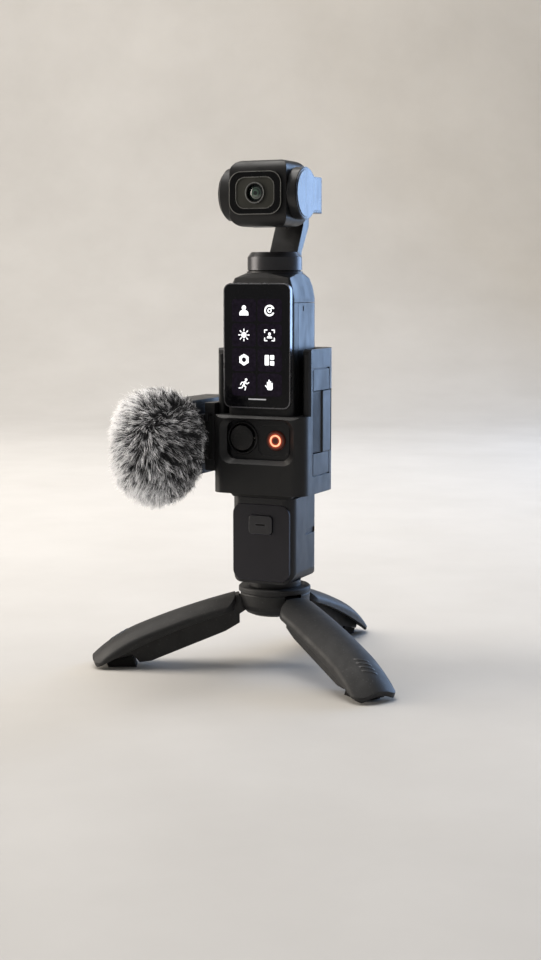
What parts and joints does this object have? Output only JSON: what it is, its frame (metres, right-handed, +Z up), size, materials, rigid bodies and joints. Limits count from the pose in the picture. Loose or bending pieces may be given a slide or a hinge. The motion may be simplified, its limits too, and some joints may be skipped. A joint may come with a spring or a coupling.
{
  "type": "camera gimbal",
  "caption": "Pocket three-axis gimbal camera in a clip-on cage, with a fur-covered clip microphone, a quick-release threaded base and a folding mini tripod.",
  "frame": {"origin": "on the table plane, under the pan axis of the gimbal and the tripod's screw axis", "axes": "+Z up along the grip; -Y is the side the screen, the controls and, in this pose, the lens face; +X is the right-hand side seen from in front of the screen"},
  "size_m": [0.1351, 0.132, 0.2047],
  "materials": {
    "grip_plastic": "fine matte texture",
    "seal_plastic": "matte",
    "circuit_board": "solder mask",
    "battery_foil": "satin foil wrap",
    "bare_aluminium": "milled",
    "copper_winding": "enamelled copper winding",
    "joystick_rubber": "fine dotted grip",
    "record_red": "satin, backlit",
    "light_guide": "glowing ring",
    "screen_metal": "satin anodised",
    "display_glass": null,
    "steel": "turned",
    "pan_metal": "satin dark grey",
    "arm_metal": "fine satin",
    "head_plastic": "fine satin",
    "gloss_black": "polished",
    "lens_plate_paint": "satin olive grey",
    "lens_black": "ribbed matte",
    "lens_glass": "coated, faint green",
    "cage_plastic": "fine matte texture",
    "base_plastic": "matte",
    "panel_plastic": "matte, slightly violet grey",
    "button_plastic": "satin",
    "brass": "machined",
    "tripod_plastic": "soft-touch coat",
    "foot_rubber": "matte rubber",
    "mic_plastic": "matte",
    "fur": "salt and pepper faux fur"
  },
  "bodies": {
    "grip": {"front_shell": "grip_plastic", "rear_shell": "grip_plastic", "shoulder_cap": "grip_plastic", "bottom_cap": "seal_plastic", "main_board": "circuit_board", "battery_cell": "battery_foil", "heat_sink": "bare_aluminium", "pan_stator": "copper_winding", "joystick_housing": "grip_plastic", "cage_frame": "cage_plastic", "cold_shoe": "cage_plastic", "shoe_screws": "steel", "door_pins": "steel", "base_shell": "base_plastic", "base_panel": "panel_plastic", "button_spring": "steel", "thread_insert": "brass", "tripod_stud": "steel", "tripod_hub": "tripod_plastic", "leg_pins": "steel"},
    "screen": {"screen_frame": "screen_metal", "screen_glass": "display_glass", "screen_pivot": "steel"},
    "joystick_yoke": {"joystick_yoke": "steel"},
    "joystick_knob": {"joystick_knob": "joystick_rubber"},
    "record_button": {"record_button": "record_red", "record_light_ring": "light_guide"},
    "pan_arm": {"pan_housing": "pan_metal", "pan_rotor": "steel", "gimbal_arm": "arm_metal", "roll_stator": "copper_winding", "roll_bearing": "steel"},
    "roll_bracket": {"roll_rotor": "pan_metal", "tilt_bracket": "arm_metal", "bracket_cover": "arm_metal", "tilt_stator": "copper_winding", "tilt_bearing": "steel"},
    "camera_head": {"camera_shell": "head_plastic", "camera_back": "head_plastic", "camera_end_cap": "head_plastic", "lens_bezel": "gloss_black", "lens_plate": "lens_plate_paint", "lens_barrel": "lens_black", "lens_glass": "lens_glass", "image_sensor": "circuit_board", "tilt_rotor": "steel"},
    "cage_door": {"cage_door": "cage_plastic"},
    "latch_lever": {"latch_lever": "cage_plastic"},
    "base_button": {"base_button": "button_plastic"},
    "release_lever": {"release_lever": "steel"},
    "leg_left": {"leg_left": "tripod_plastic", "foot_left": "foot_rubber"},
    "leg_right": {"leg_right": "tripod_plastic", "foot_right": "foot_rubber"},
    "leg_rear": {"leg_rear": "tripod_plastic", "foot_rear": "foot_rubber"},
    "mic_clip": {"mic_clip": "mic_plastic"},
    "mic": {"mic_body": "mic_plastic"},
    "windscreen": {"muff_collar": "mic_plastic", "fur_muff": "fur"}
  },
  "joints": [
    {"name": "pan", "type": "hinge", "parent": "grip", "child": "pan_arm", "pos_m": [0, 0, 0.165], "axis": [0, 0, 1], "range_deg": [-55, 238]},
    {"name": "roll", "type": "hinge", "parent": "pan_arm", "child": "roll_bracket", "pos_m": [0, 0.0165, 0.1918], "axis": [0, 1, 0], "range_deg": [-45, 45]},
    {"name": "tilt", "type": "hinge", "parent": "roll_bracket", "child": "camera_head", "pos_m": [0.0133, -0.0075, 0.1918], "axis": [1, 0, 0], "range_deg": [-70, 120]},
    {"name": "screen_turn", "type": "hinge", "parent": "grip", "child": "screen", "pos_m": [0, -0.0138, 0.1321], "axis": [0, 1, 0], "range_deg": [0, 90]},
    {"name": "joystick_updown", "type": "hinge", "parent": "grip", "child": "joystick_yoke", "pos_m": [-0.0073, -0.0119, 0.0952], "axis": [1, 0, 0], "range_deg": [-11, 11], "stiffness_Nm_per_rad": 0.0015},
    {"name": "joystick_leftright", "type": "hinge", "parent": "joystick_yoke", "child": "joystick_knob", "pos_m": [-0.0073, -0.0119, 0.0952], "axis": [0, 0, 1], "range_deg": [-11, 11], "stiffness_Nm_per_rad": 0.0015},
    {"name": "record_press", "type": "slide", "parent": "grip", "child": "record_button", "axis": [0, 1, 0], "range_m": [0, 0.0005], "stiffness_N_per_m": 120},
    {"name": "cage_door_swing", "type": "hinge", "parent": "grip", "child": "cage_door", "pos_m": [-0.0146, 0.015, 0.1015], "axis": [0, 0, 1], "range_deg": [0, 100]},
    {"name": "latch_swing", "type": "hinge", "parent": "grip", "child": "latch_lever", "pos_m": [0.0185, 0.0101, 0.1016], "axis": [0, 0, 1], "range_deg": [0, 75]},
    {"name": "base_press", "type": "slide", "parent": "grip", "child": "base_button", "axis": [0, 1, 0], "range_m": [0, 0.0012], "stiffness_N_per_m": 200, "deforming": ["button_spring"]},
    {"name": "release_tilt", "type": "hinge", "parent": "grip", "child": "release_lever", "pos_m": [0, -0.00825, 0.0655], "axis": [1, 0, 0], "range_deg": [0, 11.5], "deforming": ["button_spring"]},
    {"name": "leg_left_fold", "type": "hinge", "parent": "grip", "child": "leg_left", "pos_m": [-0.00936, -0.00477, 0.0274], "axis": [0.454, -0.891, 0], "range_deg": [0, 67.6]},
    {"name": "leg_right_fold", "type": "hinge", "parent": "grip", "child": "leg_right", "pos_m": [0.00881, -0.00572, 0.0274], "axis": [0.5446, 0.8387, 0], "range_deg": [0, 67.6]},
    {"name": "leg_rear_fold", "type": "hinge", "parent": "grip", "child": "leg_rear", "pos_m": [0.00055, 0.01049, 0.0274], "axis": [-0.9986, 0.0523, 0], "range_deg": [0, 67.6]},
    {"name": "mic_slide", "type": "slide", "parent": "grip", "child": "mic_clip", "axis": [0, -1, 0], "range_m": [0, 0.018]},
    {"name": "mic_swing", "type": "hinge", "parent": "mic_clip", "child": "mic", "pos_m": [-0.0258, 0.0196, 0.0945], "axis": [0, 0, 1], "range_deg": [-20, 0]},
    {"name": "windscreen_pull", "type": "slide", "parent": "mic", "child": "windscreen", "axis": [0, -1, 0], "range_m": [0, 0.012]}
  ],
  "couplings": [
    {"joint": "release_tilt", "follows": "base_press", "rad_per_m": 166.67}
  ]
}
